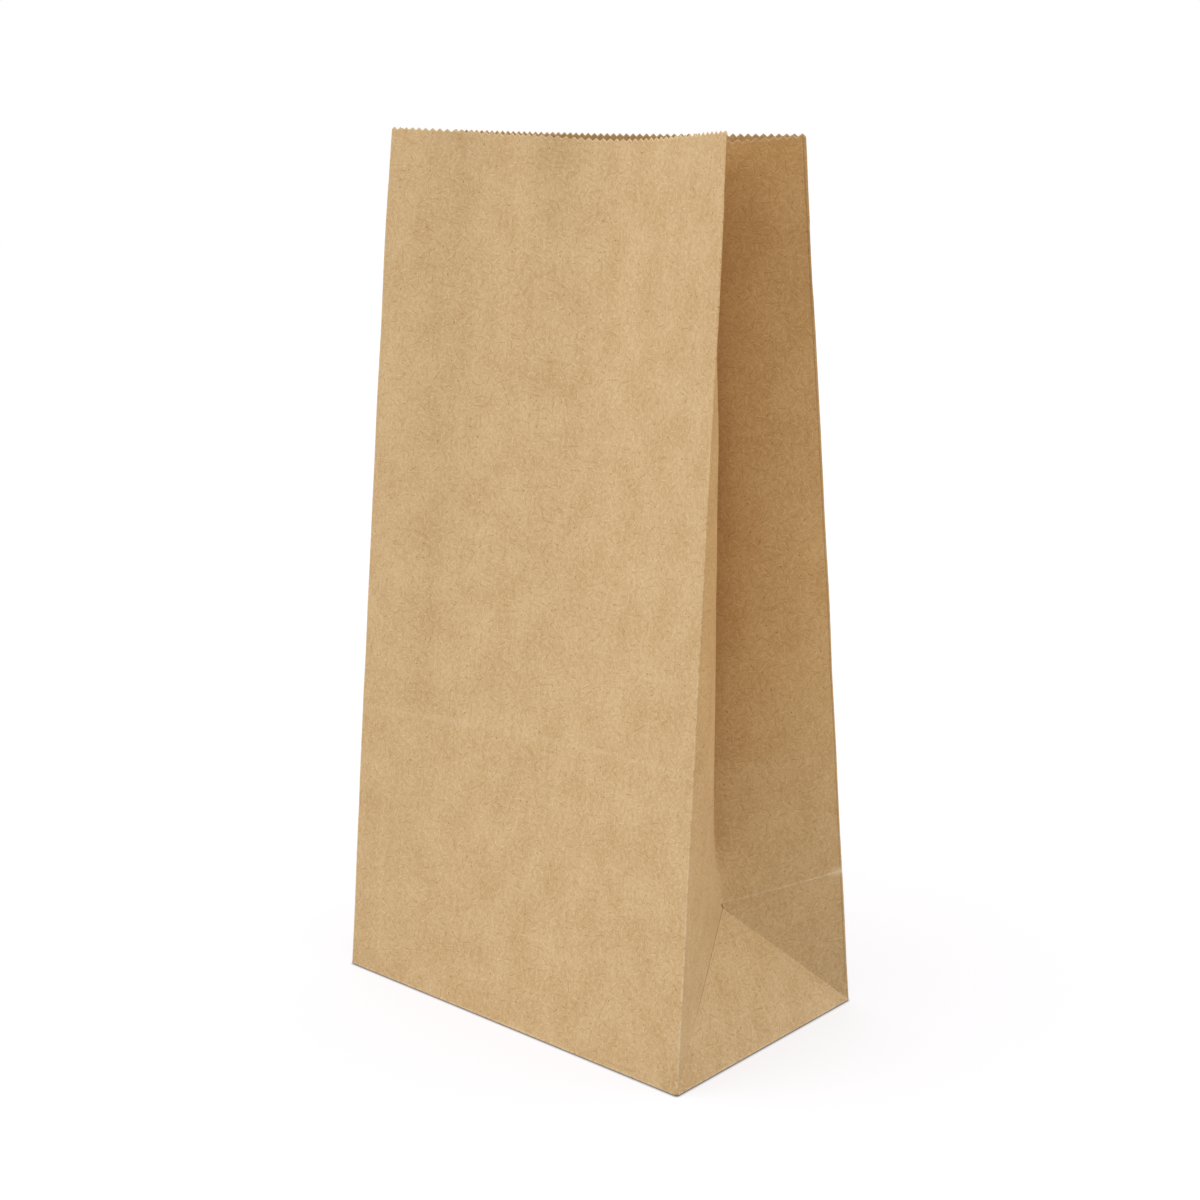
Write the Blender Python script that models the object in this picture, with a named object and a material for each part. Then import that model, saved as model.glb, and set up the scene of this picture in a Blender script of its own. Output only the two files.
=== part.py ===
"""Brown paper lunch bag: one kraft sheet, folded into a gusseted tube with a flat base.

Metres, +Z up. The origin is the middle of the base, on the surface that the bag stands on.
X runs across the width, the wide front panel looks along -Y, and the gussets are at +X and -X.

A point of the sheet has a place across it, counted from a fold, and a height up it, counted
from the fold at the base. Every wall keeps both lengths, so the bag could be pressed flat again.
"""
import bisect
import math

import bpy
import numpy
from mathutils import Vector

# The bag pressed flat, and the paper that it is made of
BAG_WIDTH = 0.127
BAG_DEPTH = 0.0794
BAG_LENGTH = 0.2477
PAPER_THICKNESS = 0.00012

# The edge that the knife leaves at the mouth
TEETH_ACROSS = 55
TOOTH_HEIGHT = 0.0010

# How the opened bag stands: the mouth's corners are nearer to the middle than the base's
FRONT_LEFT_MOUTH_REACH = 0.0172
FRONT_RIGHT_MOUTH_REACH = 0.0197
BACK_MOUTH_REACH = 0.0120
MOUTH_SHIFT = -0.0028

# Hollows in the two wide panels, deepest at the mouth: share of the width, then depth
FRONT_HOLLOW = ((0.0, 0.0), (0.1, 0.0016), (0.25, 0.0083), (0.45, 0.0125), (0.6, 0.0149), (0.8, 0.0095),
                (1.0, 0.0))
BACK_HOLLOW = ((0.0, 0.0), (0.3, 0.0032), (0.6, 0.0040), (1.0, 0.0))
HOLLOW_POWER = 1.1

# A ridge in the front panel at the mouth, where the folded gusset was pressed against it
RIDGE_PLACE = 0.395
RIDGE_HEIGHT = 0.0046
RIDGE_HALF_WIDTH = 0.008
RIDGE_LENGTH = 0.030

# Each half of a gusset bows into the side recess, by this angle between chord and arc
GUSSET_BOW_ANGLE = math.radians(33)
GUSSET_BOW_RISE = 0.038

# The glued lap that closes the tube, on the back panel
LAP_WIDTH = 0.012
LAP_FROM_SIDE = 0.040

# The glued base: two long flaps over two end flaps
FLAP_OVERLAP = 0.018
END_FLAP_LENGTH = 0.034
FLAP_INSET = 0.00005
PLY_BITE = 0.00005

# How finely the curved walls are divided
FRONT_COLUMNS = 20
BACK_COLUMNS = 12
GUSSET_COLUMNS = 6
UPPER_ROWS = 10
TOOTH_STRIP = 0.008

# Walls whose directions differ by less than about this, in radians, are taken as one wall
SAME_WALL = 0.08

# Lengths that differ by less than this are taken as equal
SAME_LENGTH = 0.000001

KRAFT_BROWN = (0.58, 0.40, 0.22, 1.0)
KRAFT_ROUGHNESS = 0.85

HALF_WIDTH = BAG_WIDTH / 2
HALF_DEPTH = BAG_DEPTH / 2
BASE_THICKNESS = 3 * PAPER_THICKNESS
TOOTH_PITCH = BAG_WIDTH / TEETH_ACROSS


def smooth_profile(points, place):
    """A smooth curve through (place, value) points, level at the first and free at the last."""
    places = [point[0] for point in points]
    index = min(max(bisect.bisect_right(places, place) - 1, 0), len(points) - 2)
    here, after = points[index], points[index + 1]
    before = points[index - 1] if index > 0 else here
    beyond = points[index + 2] if index + 2 < len(points) else after
    span = after[0] - here[0]
    share = (place - here[0]) / span
    slope_here = (after[1] - before[1]) / (after[0] - before[0]) * span
    slope_after = (beyond[1] - here[1]) / (beyond[0] - here[0]) * span
    return ((2 * share**3 - 3 * share**2 + 1) * here[1] + (share**3 - 2 * share**2 + share) * slope_here
            + (3 * share**2 - 2 * share**3) * after[1] + (share**3 - share**2) * slope_after)


def step_left(length, *moves):
    """What is left of a length of paper in one direction after its moves in the others."""
    return math.sqrt(max(length**2 - sum(move**2 for move in moves), 0.0))


def tooth_lift(place):
    """Height of the cut edge above its mean line, at a distance from a fold."""
    share = (place / TOOTH_PITCH) % 1.0
    return TOOTH_HEIGHT * (0.5 - abs(2 * share - 1.0))


def at_tooth(place):
    """The nearest tip or root of the cut edge."""
    return round(place / (TOOTH_PITCH / 2)) * TOOTH_PITCH / 2


LAP_START = at_tooth(LAP_FROM_SIDE)
LAP_END = at_tooth(LAP_FROM_SIDE + LAP_WIDTH)
LAP_EDGES = (LAP_START - TOOTH_PITCH / 2, LAP_START, LAP_END, LAP_END + TOOTH_PITCH / 2)


def row_heights():
    """Heights of the rows up the sheet: even steps in the base's facets, longer ones above."""
    step = HALF_DEPTH / GUSSET_COLUMNS
    lower = [row * step for row in range(GUSSET_COLUMNS + 1)]
    rise = BAG_LENGTH - TOOTH_STRIP - HALF_DEPTH
    return lower + [HALF_DEPTH + rise * row / UPPER_ROWS for row in range(1, UPPER_ROWS + 1)]


def panel_places(columns, extra=()):
    """Even places across a wide panel, with extra ones in place of those that are near them."""
    even = [BAG_WIDTH * column / columns for column in range(columns + 1)]
    clear = [place for place in even if all(abs(place - other) > TOOTH_PITCH for other in extra)]
    return sorted(clear + list(extra))


def tooth_places(length):
    """Places of the tips and roots of the cut edge between two folds."""
    halves = int((length + SAME_LENGTH) / (TOOTH_PITCH / 2))
    places = [half * TOOTH_PITCH / 2 for half in range(halves + 1)]
    if length - places[-1] > SAME_LENGTH:
        places.append(length)
    return places


def panel_row(places, height, side):
    """Points (x, y) across a wide panel. Side is -1 for the front and +1 for the back."""
    share = height / BAG_LENGTH
    if side < 0:
        left_reach, right_reach, hollow = FRONT_LEFT_MOUTH_REACH, FRONT_RIGHT_MOUTH_REACH, FRONT_HOLLOW
    else:
        left_reach, right_reach, hollow = BACK_MOUTH_REACH, BACK_MOUTH_REACH, BACK_HOLLOW
    left = HALF_DEPTH + (left_reach - HALF_DEPTH) * share
    right = HALF_DEPTH + (right_reach - HALF_DEPTH) * share
    fade = share**HOLLOW_POWER
    reach = [left + (right - left) * place / BAG_WIDTH - fade * smooth_profile(hollow, place / BAG_WIDTH)
             for place in places]
    if side < 0:
        ridge = RIDGE_HEIGHT * math.exp((height - BAG_LENGTH) / RIDGE_LENGTH)
        middle = RIDGE_PLACE * BAG_WIDTH
        reach = [y + ridge * math.exp(-((place - middle) / RIDGE_HALF_WIDTH)**2)
                 for place, y in zip(places, reach)]
    across = [0.0]
    for index in range(1, len(places)):
        step = step_left(places[index] - places[index - 1], reach[index] - reach[index - 1])
        across.append(across[-1] + step)
    start = MOUTH_SHIFT * share - across[-1] / 2
    return [(start + x, side * y) for x, y in zip(across, reach)]


def climb(rows, heights):
    """Adds z to rows of (x, y), each step up the sheet keeping its length."""
    points = [[Vector((x, y, 0.0)) for x, y in rows[0]]]
    for row, height, below_height in zip(rows[1:], heights[1:], heights[:-1]):
        points.append([])
        for (x, y), below in zip(row, points[-2]):
            rise = step_left(height - below_height, x - below.x, y - below.y)
            points[-1].append(Vector((x, y, below.z + rise)))
    return points


def facet_lean(mouth_reach):
    """Angle from upright of a base facet whose crease stays at 45 degrees to a leaning edge fold."""
    lean = (HALF_DEPTH - mouth_reach) / BAG_LENGTH
    return math.acos((1 - lean) / math.sqrt(1 - lean**2))


FRONT_MOUTH_REACH = (FRONT_LEFT_MOUTH_REACH + FRONT_RIGHT_MOUTH_REACH) / 2
FACET_LEAN = (facet_lean(FRONT_MOUTH_REACH) + facet_lean(BACK_MOUTH_REACH)) / 2


def facet_point(place, height, side):
    """A point of the base facet: the triangle that rises from a short side of the base."""
    x = HALF_WIDTH - height * math.sin(FACET_LEAN)
    return Vector((side * x, place - HALF_DEPTH, height * math.cos(FACET_LEAN)))


def bow_at(height):
    """Angle between chord and arc in each half of a gusset, nothing at the facet's tip."""
    return GUSSET_BOW_ANGLE * (1.0 - math.exp((HALF_DEPTH - height) / GUSSET_BOW_RISE))


def inner_fold(front, back, heights, side):
    """The gusset's inner fold, from the facet's tip to the mouth, between two edge folds."""
    fold = [facet_point(HALF_DEPTH, HALF_DEPTH, side)]
    for index in range(1, len(heights)):
        bow = bow_at(heights[index])
        chord = HALF_DEPTH * math.sin(bow) / bow
        middle = (front[index] + back[index]) / 2
        gap = (front[index] - back[index]).length / 2
        depth = step_left(chord, gap, middle.z - fold[-1].z - (heights[index] - heights[index - 1]))
        x = middle.x - side * depth
        rise = step_left(heights[index] - heights[index - 1], x - fold[-1].x, middle.y - fold[-1].y)
        fold.append(Vector((x, middle.y, fold[-1].z + rise)))
    return fold


def bowed(edge, fold, share, height, outward):
    """A point of half a gusset, at a share of the way from its edge fold to its inner fold."""
    bow = bow_at(height)
    if height - HALF_DEPTH < SAME_LENGTH:
        return edge.lerp(fold, share)
    chord = fold - edge
    normal = Vector((chord.y, -chord.x, 0.0)).normalized()
    if normal.dot(outward) < 0:
        normal.negate()
    turn = bow * (2 * share - 1)
    along = (math.sin(turn) + math.sin(bow)) / (2 * math.sin(bow))
    proud = (math.cos(turn) - math.cos(bow)) / (2 * math.sin(bow)) * chord.length
    return edge + chord * along + normal * proud


def gusset_point(place, height, front, back, fold, side):
    """A point of a gusset, at a distance from its front edge fold and a height up the sheet."""
    beside_facet = height < HALF_DEPTH - SAME_LENGTH
    if beside_facet and height <= place <= BAG_DEPTH - height:
        return facet_point(place, height, side)
    from_front = place <= HALF_DEPTH
    edge = front if from_front else back
    inward = place if from_front else BAG_DEPTH - place
    if beside_facet:
        crease = facet_point(height if from_front else BAG_DEPTH - height, height, side)
        return edge.lerp(crease, inward / height)
    return bowed(edge, fold, inward / HALF_DEPTH, height, Vector((side, 0.0, 0.0)))


def build_sheet():
    """The folded sheet's inner face as points and faces, and the plies at each point."""
    heights = row_heights()
    gusset_places = [HALF_DEPTH * column / GUSSET_COLUMNS for column in range(2 * GUSSET_COLUMNS + 1)]
    half_teeth = tooth_places(HALF_DEPTH)
    places = {"front": panel_places(FRONT_COLUMNS), "back": panel_places(BACK_COLUMNS, LAP_EDGES),
              "gusset": gusset_places}
    teeth = {"front": tooth_places(BAG_WIDTH), "back": tooth_places(BAG_WIDTH),
             "gusset": half_teeth + [BAG_DEPTH - place for place in reversed(half_teeth[:-1])]}
    all_heights = heights + [BAG_LENGTH]

    def panel(name, side):
        rows = climb([panel_row(places[name], height, side) for height in all_heights], all_heights)
        top = rows[-1]
        xy = panel_row(teeth[name], BAG_LENGTH, side)
        edge = []
        for place, (x, y) in zip(teeth[name], xy):
            index = min(bisect.bisect_right(places[name], place) - 1, len(top) - 2)
            share = (place - places[name][index]) / (places[name][index + 1] - places[name][index])
            level = top[index].z + (top[index + 1].z - top[index].z) * share
            edge.append(Vector((x, y, level + tooth_lift(place))))
        return rows[:-1], edge

    front_rows, front_edge = panel("front", -1)
    back_rows, back_edge = panel("back", 1)

    def gusset(side):
        end = 0 if side < 0 else -1
        front = [row[end] for row in front_rows]
        back = [row[end] for row in back_rows]
        lift = Vector((0.0, 0.0, tooth_lift(0.0)))
        front_top = front_edge[end] - lift
        back_top = back_edge[end] - lift
        first = GUSSET_COLUMNS
        fold = inner_fold(front[first:] + [front_top], back[first:] + [back_top], all_heights[first:], side)
        rows = []
        for index, height in enumerate(heights):
            crease = fold[max(index - first, 0)]
            rows.append([gusset_point(place, height, front[index], back[index], crease, side)
                         for place in places["gusset"]])
        edge = []
        for place in teeth["gusset"]:
            inward = min(place, BAG_DEPTH - place)
            point = gusset_point(place, BAG_LENGTH, front_top, back_top, fold[-1], side)
            edge.append(point + Vector((0.0, 0.0, tooth_lift(inward))))
        return rows, edge

    right_rows, right_edge = gusset(1)
    left_rows, left_edge = gusset(-1)

    points, plies = [], []

    def add(point, ply):
        points.append(point)
        plies.append(ply)
        return len(points) - 1

    def ply_at(place):
        return 2 if LAP_START - SAME_LENGTH <= place <= LAP_END + SAME_LENGTH else 1

    def go_round(front_line, right_line, back_line, left_line, across):
        """Four spans of (distance, point number), anticlockwise from above, sharing their ends."""
        corners = [add(front_line[0], 1), add(front_line[-1], 1), add(back_line[-1], 1), add(back_line[0], 1)]
        spans = []
        from_right = [BAG_WIDTH - place for place in reversed(across["back"])]
        lines = [(front_line, across["front"], corners[0], corners[1], False),
                 (right_line, across["gusset"], corners[1], corners[2], False),
                 (back_line[::-1], from_right, corners[2], corners[3], True),
                 (left_line[::-1], across["gusset"], corners[3], corners[0], False)]
        for line, distances, first, last, lapped in lines:
            middle = [add(point, ply_at(BAG_WIDTH - distance) if lapped else 1)
                      for point, distance in zip(line[1:-1], distances[1:-1])]
            spans.append(list(zip(distances, [first] + middle + [last])))
        return spans

    rounds = [go_round(*rows, places) for rows in zip(front_rows, right_rows, back_rows, left_rows)]
    rounds.append(go_round(front_edge, right_edge, back_edge, left_edge, teeth))
    faces = [[number for span in reversed(rounds[0]) for _, number in reversed(span[1:])]]
    for below, above in zip(rounds[:-1], rounds[1:]):
        for wall, (lower, upper) in enumerate(zip(below, above)):
            if len(lower) != len(upper):
                faces += zipped(lower, upper)
                continue
            is_gusset = wall in (1, 3)
            for index in range(len(lower) - 1):
                a, b = lower[index][1], lower[index + 1][1]
                c, d = upper[index + 1][1], upper[index][1]
                if not is_gusset:
                    faces.append([a, b, c, d])
                elif index < GUSSET_COLUMNS:
                    faces += [[a, b, c], [a, c, d]]
                else:
                    faces += [[a, b, d], [b, c, d]]
    return points, plies, faces


def zipped(lower, upper):
    """Triangles between two rows of (distance, point number) that share their ends' distances."""
    faces = []
    low, high = 0, 0
    while low < len(lower) - 1 or high < len(upper) - 1:
        low_is_done = low == len(lower) - 1
        if low_is_done or (high < len(upper) - 1 and upper[high + 1][0] <= lower[low + 1][0]):
            faces.append([lower[low][1], upper[high + 1][1], upper[high][1]])
            high += 1
        else:
            faces.append([lower[low][1], lower[low + 1][1], upper[high][1]])
            low += 1
    return faces


def outer_face(points, plies, faces):
    """Each point moved out so that every wall that meets there is as thick as its plies."""
    around = [[] for _ in points]
    for face in faces:
        corners = [points[number] for number in face]
        normal = sum((a.cross(b) for a, b in zip(corners, corners[1:] + corners[:1])), Vector())
        for index, number in enumerate(face):
            before = (corners[index - 1] - corners[index]).normalized()
            after = (corners[(index + 1) % len(face)] - corners[index]).normalized()
            around[number].append((normal.normalized(), before.angle(after)))
    outer = []
    for point, ply, walls in zip(points, plies, around):
        weights = numpy.array([angle for _, angle in walls])
        normals = numpy.array([tuple(normal) for normal, _ in walls]) * weights[:, None]
        move = numpy.linalg.lstsq(normals, weights * ply * PAPER_THICKNESS, rcond=SAME_WALL)[0]
        outer.append(point + Vector(move))
    return outer


def thick_sheet(points, plies, faces):
    """Points and faces of the closed solid between the sheet's inner and outer faces."""
    count = len(points)
    edges = {(a, b) for face in faces for a, b in zip(face, face[1:] + face[:1])}
    rim = [(a, b) for a, b in edges if (b, a) not in edges]
    outside = [[number + count for number in face] for face in faces]
    inside = [face[::-1] for face in faces]
    cut_edge = [[b + count, a + count, a, b] for a, b in sorted(rim)]
    return points + outer_face(points, plies, faces), outside + inside + cut_edge


def kraft_material():
    """Unbleached kraft paper: warm brown and matt."""
    material = bpy.data.materials.new("kraft_paper")
    material.use_nodes = True
    shader = material.node_tree.nodes["Principled BSDF"]
    shader.inputs["Base Color"].default_value = KRAFT_BROWN
    shader.inputs["Roughness"].default_value = KRAFT_ROUGHNESS
    shader.inputs["Metallic"].default_value = 0.0
    return material


def add_object(name, points, faces):
    mesh = bpy.data.meshes.new(name)
    mesh.from_pydata(points, [], faces)
    mesh.validate()
    result = bpy.data.objects.new(name, mesh)
    bpy.context.scene.collection.objects.link(result)
    return result


def add_ply(name, outline, low, high):
    """A flap of the base as a thin plate, kept as a tool that is joined to the bag."""
    count = len(outline)
    points = [(x, y, low) for x, y in outline] + [(x, y, high) for x, y in outline]
    faces = [list(range(count))[::-1], list(range(count, 2 * count))]
    for index in range(count):
        after = (index + 1) % count
        faces.append([index, after, after + count, index + count])
    plate = add_object(name, points, faces)
    plate.display_type = "WIRE"
    plate.hide_render = True
    return plate


def long_flap(side):
    """Outline of a long flap with its corners folded in at 45 degrees, anticlockwise."""
    half, edge = HALF_WIDTH - FLAP_INSET, HALF_DEPTH - FLAP_INSET
    tip = FLAP_OVERLAP / 2
    reach = edge + tip
    outline = [(-half, -edge), (half, -edge), (half - reach, tip), (reach - half, tip)]
    return outline if side < 0 else [(-x, -y) for x, y in outline]


def end_flap(side):
    """Outline of an end flap inside the bag."""
    outer, inner, edge = HALF_WIDTH - FLAP_INSET, HALF_WIDTH - END_FLAP_LENGTH, HALF_DEPTH - FLAP_INSET
    outline = [(inner, -edge), (outer, -edge), (outer, edge), (inner, edge)]
    return outline if side > 0 else [(-x, -y) for x, y in outline]


def build_bag():
    for item in list(bpy.data.objects):
        bpy.data.objects.remove(item, do_unlink=True)

    points, plies, faces = build_sheet()
    floor = Vector((0.0, 0.0, BASE_THICKNESS))
    bag = add_object("paper_bag", *thick_sheet([point + floor for point in points], plies, faces))
    bag.data.materials.append(kraft_material())

    inside = BASE_THICKNESS - PLY_BITE
    flaps = [add_ply("rear_flap_tool", long_flap(1), 0.0, inside),
             add_ply("front_flap_tool", long_flap(-1), PAPER_THICKNESS, inside)]
    for side in (-1, 1):
        flaps.append(add_ply("end_flap_tool", end_flap(side), inside, BASE_THICKNESS + PAPER_THICKNESS))
    for flap in flaps:
        join = bag.modifiers.new(flap.name, "BOOLEAN")
        join.operation = "UNION"
        join.object = flap
    return bag


build_bag()
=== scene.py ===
"""Brown paper lunch bag, opened and standing on a pale floor.

Metres, +Z up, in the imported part's frame: the origin is the middle of the base, X runs across
the wide panels, the front panel looks along -Y and the gussets are at +X and -X.
"""
import math

import bpy
import numpy
from mathutils import Matrix, Vector


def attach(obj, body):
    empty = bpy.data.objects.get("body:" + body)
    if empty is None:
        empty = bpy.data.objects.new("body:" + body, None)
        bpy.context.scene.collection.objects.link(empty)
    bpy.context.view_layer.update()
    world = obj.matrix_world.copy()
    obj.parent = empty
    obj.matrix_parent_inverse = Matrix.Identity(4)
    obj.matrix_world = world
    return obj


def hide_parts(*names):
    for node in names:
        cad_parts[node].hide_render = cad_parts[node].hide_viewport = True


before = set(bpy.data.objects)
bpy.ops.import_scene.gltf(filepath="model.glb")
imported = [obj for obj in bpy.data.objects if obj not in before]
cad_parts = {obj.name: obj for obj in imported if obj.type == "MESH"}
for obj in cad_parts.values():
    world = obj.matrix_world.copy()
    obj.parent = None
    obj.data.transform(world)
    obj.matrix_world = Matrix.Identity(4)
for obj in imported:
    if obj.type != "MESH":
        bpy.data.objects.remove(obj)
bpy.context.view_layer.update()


# The folded sheet.
# One length of unbleached kraft paper, glued into a tube with a gusset down each side. The
# mill pressed it flat, so the opened bag is wide at its base and hollow towards its mouth.
BAG_WIDTH = 0.127
BAG_DEPTH = 0.0794
BAG_LENGTH = 0.2477
PAPER_THICKNESS = 0.00012
PLY_GAP = 0.00002
HALF_WIDTH = BAG_WIDTH / 2
HALF_DEPTH = BAG_DEPTH / 2
REAR_FLAP_LEVEL = PAPER_THICKNESS
FRONT_FLAP_LEVEL = REAR_FLAP_LEVEL + PAPER_THICKNESS + PLY_GAP
END_FLAP_LEVEL = FRONT_FLAP_LEVEL + PAPER_THICKNESS + PLY_GAP

TEETH_ACROSS = 55
TOOTH_PITCH = BAG_WIDTH / TEETH_ACROSS
COLUMN_STEP = TOOTH_PITCH / 2

FRONT_LEFT_MOUTH_REACH = 0.0172
FRONT_RIGHT_MOUTH_REACH = 0.0197
FRONT_RIGHT_BOW = 0.0009
BACK_MOUTH_REACH = 0.0110
FRONT_MOUTH_SHIFT = -0.0028
BACK_MOUTH_SHIFT = -0.0038
FRONT_HOLLOW = ((0.0, 0.0), (0.1, 0.0016), (0.25, 0.0083), (0.45, 0.0125), (0.6, 0.0149),
                (0.8, 0.0095), (1.0, 0.0))
BACK_HOLLOW = ((0.0, 0.0), (0.3, 0.0032), (0.6, 0.0040), (1.0, 0.0))
HOLLOW_POWER = 0.85
FRONT_DIP = 0.0009
DIP_POWER = 5
DIP_LEAN = 1.3
RIDGE_PLACE = 0.395
RIDGE_HEIGHT = 0.0027
RIDGE_HALF_WIDTH = 0.008
RIDGE_LENGTH = 0.030
GUSSET_BOW_ANGLE = math.radians(33)
GUSSET_BOW_RISE = 0.038
GUSSET_CALM = (0.168, 0.222, 0.35)
FACET_LEAN = math.radians(25)
TIP_EASE = 0.012
LEAST_BOW = 0.001

LAP_START = round(0.040 / COLUMN_STEP) * COLUMN_STEP
LAP_END = round(0.052 / COLUMN_STEP) * COLUMN_STEP

NEAR_FOLD = (0.0002, 0.00045)
FOLD_PASSES = 2
ROW_STEP = 0.004


def smooth_profile(profile, places):
    """A smooth curve through (place, value) points."""
    knots, values = numpy.array(profile).T
    slopes = numpy.gradient(values, knots)
    index = numpy.clip(numpy.searchsorted(knots, places, "right") - 1, 0, len(knots) - 2)
    span = knots[index + 1] - knots[index]
    t = (places - knots[index]) / span
    return ((2 * t**3 - 3 * t**2 + 1) * values[index] + (t**3 - 2 * t**2 + t) * span * slopes[index]
            + (3 * t**2 - 2 * t**3) * values[index + 1] + (t**3 - t**2) * span * slopes[index + 1])


def step_left(length, *moves):
    """What is left of a length of paper in one direction after its moves in the others."""
    return numpy.sqrt(numpy.maximum(length**2 - sum(move**2 for move in moves), 0.0))


def panel(places, heights, side):
    """Rows of points on a wide panel. Side is -1 for the front and 1 for the back."""
    share = (heights / BAG_LENGTH)[:, None]
    across = (places / BAG_WIDTH)[None, :]
    if side < 0:
        left, right = FRONT_LEFT_MOUTH_REACH, FRONT_RIGHT_MOUTH_REACH
        hollow, shift = FRONT_HOLLOW, FRONT_MOUTH_SHIFT
    else:
        left, right = BACK_MOUTH_REACH, BACK_MOUTH_REACH
        hollow, shift = BACK_HOLLOW, BACK_MOUTH_SHIFT
    edge = HALF_DEPTH + (left + (right - left) * across - HALF_DEPTH) * share
    if side < 0:
        edge = edge + FRONT_RIGHT_BOW * across * numpy.sin(math.pi * share)
    reach = edge - share**HOLLOW_POWER * smooth_profile(hollow, across)
    if side < 0:
        fade = numpy.exp((heights - BAG_LENGTH) / RIDGE_LENGTH)[:, None]
        bulge = numpy.exp(-((places - RIDGE_PLACE * BAG_WIDTH) / RIDGE_HALF_WIDTH)**2)[None, :]
        reach = reach + RIDGE_HEIGHT * fade * bulge
    steps = step_left(numpy.diff(places)[None, :], numpy.diff(reach, axis=1))
    x = numpy.concatenate([numpy.zeros((len(heights), 1)), numpy.cumsum(steps, axis=1)], axis=1)
    x = x - x[:, -1:] / 2 + shift * share
    y = side * reach
    z = numpy.full_like(x, END_FLAP_LEVEL)
    for row in range(1, len(heights)):
        rise = step_left(heights[row] - heights[row - 1], x[row] - x[row - 1], y[row] - y[row - 1])
        z[row] = z[row - 1] + rise
    if side < 0:
        z = z - FRONT_DIP * share**DIP_POWER * numpy.sin(math.pi * across**DIP_LEAN)**2
    return numpy.stack([x, y, z], axis=-1)


def facet_point(place, height, side):
    """A point of the base facet: the triangle that rises from a short side of the base."""
    x = HALF_WIDTH - height * math.sin(FACET_LEAN)
    z = END_FLAP_LEVEL + height * math.cos(FACET_LEAN)
    return numpy.array([side * x, place - HALF_DEPTH, z])


def bow_at(height):
    """Angle between chord and arc in each half of a gusset: nothing at the facet's tip, and less
    where the halves close up under the mouth."""
    start, end, share = GUSSET_CALM
    t = min(max((height - start) / (end - start), 0.0), 1.0)
    calm = 1.0 - (1.0 - share) * t * t * (3.0 - 2.0 * t)
    return GUSSET_BOW_ANGLE * calm * (1.0 - math.exp((HALF_DEPTH - height) / GUSSET_BOW_RISE))


def inner_fold(front, back, heights, first, side):
    """The gusset's inner fold, from the facet's tip to the mouth, between two edge folds."""
    tip = facet_point(HALF_DEPTH, HALF_DEPTH, side)
    fold = {first: tip}
    for row in range(first + 1, len(heights)):
        bow = bow_at(heights[row])
        below, step = fold[row - 1], heights[row] - heights[row - 1]
        middle = (front[row] + back[row]) / 2
        gap = numpy.linalg.norm(front[row] - back[row]) / 2
        depth = step_left(HALF_DEPTH * math.sin(bow) / bow, gap, middle[2] - below[2] - step)
        x = middle[0] - side * depth
        x += (tip[0] - x) * math.exp(-(heights[row] - HALF_DEPTH) / TIP_EASE)
        rise = step_left(step, x - below[0], middle[1] - below[1])
        fold[row] = numpy.array([x, middle[1], below[2] + rise])
    return fold


def bowed(edge, fold, share, height, side):
    """Points of half a gusset, at shares of the way from its edge fold to its inner fold."""
    chord = fold - edge
    bow = max(bow_at(height), LEAST_BOW)
    normal = numpy.array([chord[1], -chord[0], 0.0])
    normal *= math.copysign(1.0, normal[0] * side) / numpy.linalg.norm(normal)
    turn = bow * (2 * share - 1)
    along = (numpy.sin(turn) + math.sin(bow)) / (2 * math.sin(bow))
    proud = (numpy.cos(turn) - math.cos(bow)) / (2 * math.sin(bow)) * numpy.linalg.norm(chord)
    return edge + along[:, None] * chord + proud[:, None] * normal


def beside_facet(edge, half_places, height, side, is_front):
    """Points of half a gusset below the facet's tip: a strip beside the facet, then the facet."""
    points = []
    for place in half_places:
        reach = max(place, height)
        crease = facet_point(reach if is_front else BAG_DEPTH - reach, height, side)
        share = place / height if height > place else 1.0
        points.append(edge + share * (crease - edge))
    return numpy.array(points)


def gusset(half_places, front, back, heights, side):
    """Rows of points on a gusset, from its front edge fold to its back edge fold."""
    first = len(half_places) - 1
    fold = inner_fold(front, back, heights, first, side)
    rows = []
    for row, height in enumerate(heights):
        if row < first:
            near = beside_facet(front[row], half_places, height, side, True)
            far = beside_facet(back[row], half_places, height, side, False)
        else:
            share = half_places / HALF_DEPTH
            near = bowed(front[row], fold[row], share, height, side)
            far = bowed(back[row], fold[row], share, height, side)
        rows.append(numpy.concatenate([near, far[-2::-1]]))
    return numpy.array(rows)


# Columns stand at every tip and root of the cut edge, and rows are close up to the facet's tip.
between = numpy.arange(1, TEETH_ACROSS * 2) * COLUMN_STEP
near_fold = numpy.array((0.0,) + NEAR_FOLD)
wide = numpy.concatenate([near_fold, between, BAG_WIDTH - near_fold[::-1]])
half_gusset = numpy.concatenate([near_fold, between[between < HALF_DEPTH - NEAR_FOLD[0]], [HALF_DEPTH]])
upper = numpy.arange(HALF_DEPTH + ROW_STEP / 2, BAG_LENGTH - ROW_STEP / 2, ROW_STEP)
heights = numpy.concatenate([half_gusset, upper, [BAG_LENGTH]])

front = panel(wide, heights, -1)
back = panel(wide, heights, 1)
right = gusset(half_gusset, front[:, -1], back[:, -1], heights, 1)
left = gusset(half_gusset, front[:, 0], back[:, 0], heights, -1)

# The sheet's two long edges overlap on the back panel, the left one glued over the right one.
over = wide[wide < LAP_END + COLUMN_STEP / 2]
under = wide[wide > LAP_START - COLUMN_STEP / 2]
lift = numpy.clip((over - LAP_START) / COLUMN_STEP + 1.0, 0.0, 1.0) * (PAPER_THICKNESS + PLY_GAP)
back_over = back[:, :len(over)] + lift[None, :, None] * numpy.array([0.0, 1.0, 0.0])
back_under = back[:, -len(under):]

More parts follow.
